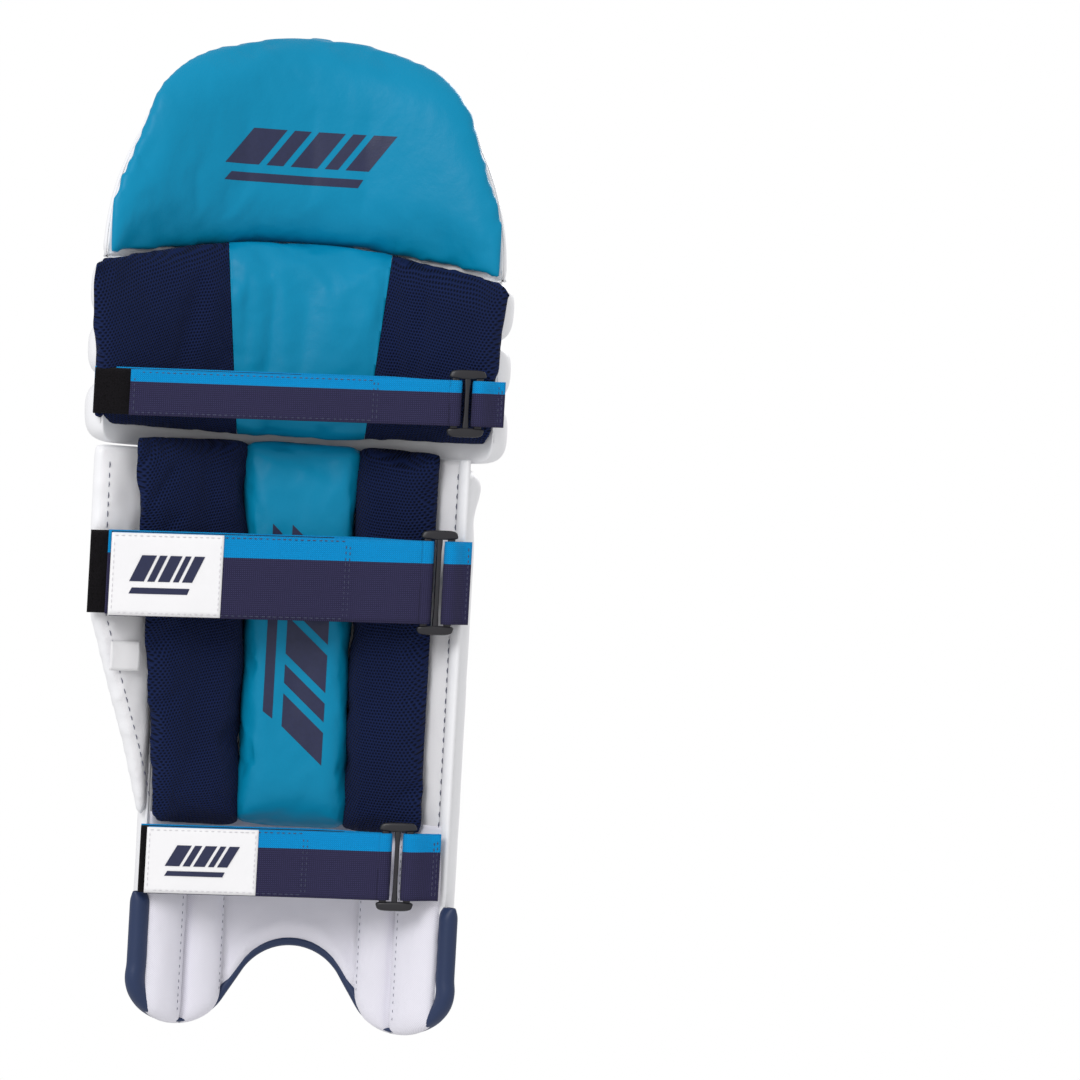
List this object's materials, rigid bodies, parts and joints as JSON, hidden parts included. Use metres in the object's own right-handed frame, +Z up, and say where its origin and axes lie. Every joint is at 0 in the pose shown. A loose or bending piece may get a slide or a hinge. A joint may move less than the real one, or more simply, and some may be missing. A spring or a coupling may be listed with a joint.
{
  "type": "cricket leg pad",
  "caption": "Batting leg pad with stuffed front channels, knee rolls, a top hat, inner bolsters, a side wing and hook-and-loop straps through rings.",
  "frame": {"origin": "bottom centre of the pad's box, under the two lobes that hang beside the shoe", "axes": "+Z up the leg, -Y out of the front that meets the ball, +X towards the side with the wing"},
  "size_m": [0.318, 0.1514, 0.74],
  "materials": {
    "white_cover": "semi-matt coated leather",
    "padding": "foam and fibre wadding",
    "cane": "bare cane",
    "lining": "twill cloth",
    "binding": "folded tape",
    "teal_cover": "smooth coated leather",
    "navy_mesh": "spacer mesh",
    "webbing": "basket-weave webbing with a blue edge",
    "hook_tape": "hook tape",
    "loop_pile": "loop pile",
    "label": "woven label",
    "ring_plastic": "satin moulded plastic"
  },
  "bodies": {
    "shin": {"shin_face_cover": "white_cover", "shin_filling_1": "padding", "shin_filling_2": "padding", "shin_filling_3": "padding", "shin_filling_4": "padding", "shin_filling_5": "padding", "shin_filling_6": "padding", "shin_filling_7": "padding", "canes": "cane", "instep_filling": "padding", "instep_cover": "white_cover", "shin_lining": "lining", "bottom_binding": "binding", "shin_bolster_centre": "teal_cover", "shin_bolster_inner": "navy_mesh", "shin_bolster_wing_side": "navy_mesh", "ankle_padding": "lining", "calf_strap": "webbing", "calf_loop_patch": "loop_pile", "calf_keeper": "webbing", "ankle_strap": "webbing", "ankle_loop_patch": "loop_pile", "ankle_keeper": "webbing"},
    "knee_lower": {"knee_roll_lower_cover": "white_cover", "knee_roll_lower_filling": "padding"},
    "knee_middle": {"knee_roll_middle_cover": "white_cover", "knee_roll_middle_filling": "padding", "knee_bolster_centre": "teal_cover", "knee_bolster_inner": "navy_mesh", "knee_bolster_wing_side": "navy_mesh", "knee_strap": "webbing", "knee_loop_patch": "loop_pile", "knee_keeper": "webbing"},
    "knee_upper": {"knee_roll_upper_cover": "white_cover", "knee_roll_upper_filling": "padding"},
    "top_hat": {"top_hat_face_cover": "white_cover", "top_hat_filling": "padding", "top_hat_side_filling": "padding", "top_hat_lining": "lining", "top_hat_pad": "teal_cover"},
    "wing": {"wing_upper": "white_cover", "wing_lower": "white_cover", "care_label": "label", "calf_strap_tail": "webbing"},
    "knee_tip": {"knee_strap_tip": "webbing", "knee_hook_patch": "hook_tape"},
    "knee_ring": {"knee_ring": "ring_plastic"},
    "calf_tip": {"calf_strap_tip": "webbing", "calf_hook_patch": "hook_tape", "calf_label": "label"},
    "calf_ring": {"calf_ring": "ring_plastic"},
    "ankle_tip": {"ankle_strap_tip": "webbing", "ankle_hook_patch": "hook_tape", "ankle_label": "label"},
    "ankle_ring": {"ankle_ring": "ring_plastic"}
  },
  "joints": [
    {"name": "knee_seam_1", "type": "hinge", "parent": "shin", "child": "knee_lower", "pos_m": [0, 0.018, 0.432], "axis": [-1, 0, 0], "range_deg": [-3, 4], "stiffness_Nm_per_rad": 60},
    {"name": "knee_seam_2", "type": "hinge", "parent": "knee_lower", "child": "knee_middle", "pos_m": [0, 0.018, 0.479], "axis": [-1, 0, 0], "range_deg": [-3, 4], "stiffness_Nm_per_rad": 60},
    {"name": "knee_seam_3", "type": "hinge", "parent": "knee_middle", "child": "knee_upper", "pos_m": [0, 0.018, 0.523], "axis": [-1, 0, 0], "range_deg": [-3, 4], "stiffness_Nm_per_rad": 60},
    {"name": "knee_seam_4", "type": "hinge", "parent": "knee_upper", "child": "top_hat", "pos_m": [0, 0.018, 0.57], "axis": [-1, 0, 0], "range_deg": [-3, 4], "stiffness_Nm_per_rad": 60},
    {"name": "wing_hinge", "type": "hinge", "parent": "shin", "child": "wing", "pos_m": [0.09644, 0.00856, 0.3], "axis": [0, 0, 1], "range_deg": [-12, 0]},
    {"name": "knee_tip_peel", "type": "hinge", "parent": "knee_middle", "child": "knee_tip", "pos_m": [-0.10027, 0.04902, 0.472], "axis": [0, 0, 1], "range_deg": [0, 150]},
    {"name": "knee_ring_rock", "type": "hinge", "parent": "knee_middle", "child": "knee_ring", "pos_m": [-0.13347, 0.04005, 0.472], "axis": [0, 0, 1], "range_deg": [-3, 3]},
    {"name": "calf_tip_peel", "type": "hinge", "parent": "shin", "child": "calf_tip", "pos_m": [-0.08653, 0.04013, 0.338], "axis": [0, 0, 1], "range_deg": [0, 150]},
    {"name": "calf_ring_rock", "type": "hinge", "parent": "shin", "child": "calf_ring", "pos_m": [-0.11953, 0.03046, 0.338], "axis": [0, 0, 1], "range_deg": [-3, 3]},
    {"name": "ankle_tip_peel", "type": "hinge", "parent": "shin", "child": "ankle_tip", "pos_m": [-0.06682, 0.03136, 0.125], "axis": [0, 0, 1], "range_deg": [0, 150]},
    {"name": "ankle_ring_rock", "type": "hinge", "parent": "shin", "child": "ankle_ring", "pos_m": [-0.10091, 0.02676, 0.125], "axis": [0, 0, 1], "range_deg": [-3, 3]}
  ],
  "couplings": [
    {"joint": "knee_seam_2", "follows": "knee_seam_1", "ratio": 1},
    {"joint": "knee_seam_3", "follows": "knee_seam_1", "ratio": 1},
    {"joint": "knee_seam_4", "follows": "knee_seam_1", "ratio": 1}
  ]
}
